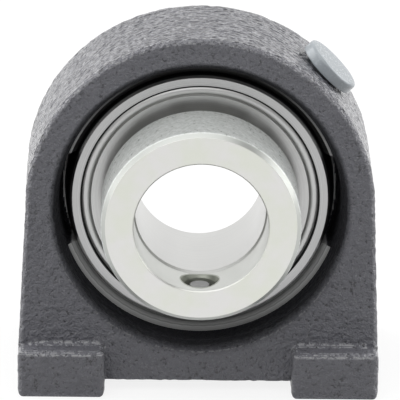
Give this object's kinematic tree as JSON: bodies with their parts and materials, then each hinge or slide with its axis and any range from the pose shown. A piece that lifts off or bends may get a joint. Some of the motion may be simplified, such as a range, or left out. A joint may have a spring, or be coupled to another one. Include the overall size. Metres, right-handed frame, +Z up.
{
  "type": "tapped-base pillow block bearing unit",
  "caption": "Short pillow block with a cast arch housing on tapped feet, a self-aligning sealed insert ball bearing, an eccentric locking collar with a set screw, and a grease hole plug.",
  "frame": {"origin": "centre of the bearing, on the shaft axis", "axes": "+Z up from the base, shaft along Y with the locking collar at -Y, +X to the right seen from the collar side"},
  "size_m": [0.0694, 0.0423, 0.07],
  "materials": {
    "housing_paint": "dark grey paint over rough casting, machined seat and base",
    "plug_plastic": "smooth light blue-grey",
    "ring_steel": "fine turned",
    "ball_steel": "polished",
    "cage_plastic": "moulded",
    "seal_steel": "pressed sheet",
    "seal_rubber": "matte",
    "collar_zinc": "zinc plated",
    "screw_steel": "satin"
  },
  "bodies": {
    "housing": {"housing": "housing_paint"},
    "insert": {"outer_ring": "ring_steel", "front_seal_cover": "seal_steel", "front_seal_lip": "seal_rubber", "front_seal_backing": "seal_steel", "rear_seal_cover": "seal_steel", "rear_seal_lip": "seal_rubber", "rear_seal_backing": "seal_steel"},
    "inner_ring": {"inner_ring": "ring_steel"},
    "ball_cage": {"ball_cage": "cage_plastic"},
    "ball_1": {"ball_1": "ball_steel"},
    "ball_2": {"ball_2": "ball_steel"},
    "ball_3": {"ball_3": "ball_steel"},
    "ball_4": {"ball_4": "ball_steel"},
    "ball_5": {"ball_5": "ball_steel"},
    "ball_6": {"ball_6": "ball_steel"},
    "ball_7": {"ball_7": "ball_steel"},
    "ball_8": {"ball_8": "ball_steel"},
    "ball_9": {"ball_9": "ball_steel"},
    "locking_collar": {"locking_collar": "collar_zinc"},
    "set_screw": {"set_screw": "screw_steel"},
    "grease_plug": {"grease_plug": "plug_plastic"}
  },
  "joints": [
    {"name": "insert_swivel", "type": "hinge", "parent": "housing", "child": "insert", "pos_m": [0, 0, 0], "axis": [0, 0, 1], "range_deg": [-5, 5]},
    {"name": "shaft_spin", "type": "hinge", "parent": "insert", "child": "inner_ring", "pos_m": [0, 0, 0], "axis": [0, 1, 0], "continuous": true},
    {"name": "cage_spin", "type": "hinge", "parent": "insert", "child": "ball_cage", "pos_m": [0, 0, 0], "axis": [0, 1, 0], "continuous": true},
    {"name": "ball_1_spin", "type": "hinge", "parent": "ball_cage", "child": "ball_1", "pos_m": [0, 0, 0.0195], "axis": [0, 1, 0], "continuous": true},
    {"name": "ball_2_spin", "type": "hinge", "parent": "ball_cage", "child": "ball_2", "pos_m": [-0.01253, 0, 0.01494], "axis": [0, 1, 0], "continuous": true},
    {"name": "ball_3_spin", "type": "hinge", "parent": "ball_cage", "child": "ball_3", "pos_m": [-0.0192, 0, 0.00339], "axis": [0, 1, 0], "continuous": true},
    {"name": "ball_4_spin", "type": "hinge", "parent": "ball_cage", "child": "ball_4", "pos_m": [-0.01689, 0, -0.00975], "axis": [0, 1, 0], "continuous": true},
    {"name": "ball_5_spin", "type": "hinge", "parent": "ball_cage", "child": "ball_5", "pos_m": [-0.00667, 0, -0.01833], "axis": [0, 1, 0], "continuous": true},
    {"name": "ball_6_spin", "type": "hinge", "parent": "ball_cage", "child": "ball_6", "pos_m": [0.00667, 0, -0.01833], "axis": [0, 1, 0], "continuous": true},
    {"name": "ball_7_spin", "type": "hinge", "parent": "ball_cage", "child": "ball_7", "pos_m": [0.01689, 0, -0.00975], "axis": [0, 1, 0], "continuous": true},
    {"name": "ball_8_spin", "type": "hinge", "parent": "ball_cage", "child": "ball_8", "pos_m": [0.0192, 0, 0.00339], "axis": [0, 1, 0], "continuous": true},
    {"name": "ball_9_spin", "type": "hinge", "parent": "ball_cage", "child": "ball_9", "pos_m": [0.01253, 0, 0.01494], "axis": [0, 1, 0], "continuous": true},
    {"name": "collar_turn", "type": "hinge", "parent": "inner_ring", "child": "locking_collar", "pos_m": [0, -0.0165, 0], "axis": [0, 1, 0], "range_deg": [-28, 28]},
    {"name": "set_screw_drive", "type": "slide", "parent": "locking_collar", "child": "set_screw", "axis": [0, 0, 1], "range_m": [-0.002, 0.002]},
    {"name": "grease_plug_pull", "type": "slide", "parent": "housing", "child": "grease_plug", "axis": [0.7071, 0, 0.7071], "range_m": [0, 0.012]}
  ],
  "couplings": [
    {"joint": "cage_spin", "follows": "shaft_spin", "ratio": 0.39824},
    {"joint": "ball_1_spin", "follows": "shaft_spin", "ratio": -2.3549},
    {"joint": "ball_2_spin", "follows": "shaft_spin", "ratio": -2.3549},
    {"joint": "ball_3_spin", "follows": "shaft_spin", "ratio": -2.3549},
    {"joint": "ball_4_spin", "follows": "shaft_spin", "ratio": -2.3549},
    {"joint": "ball_5_spin", "follows": "shaft_spin", "ratio": -2.3549},
    {"joint": "ball_6_spin", "follows": "shaft_spin", "ratio": -2.3549},
    {"joint": "ball_7_spin", "follows": "shaft_spin", "ratio": -2.3549},
    {"joint": "ball_8_spin", "follows": "shaft_spin", "ratio": -2.3549},
    {"joint": "ball_9_spin", "follows": "shaft_spin", "ratio": -2.3549}
  ]
}
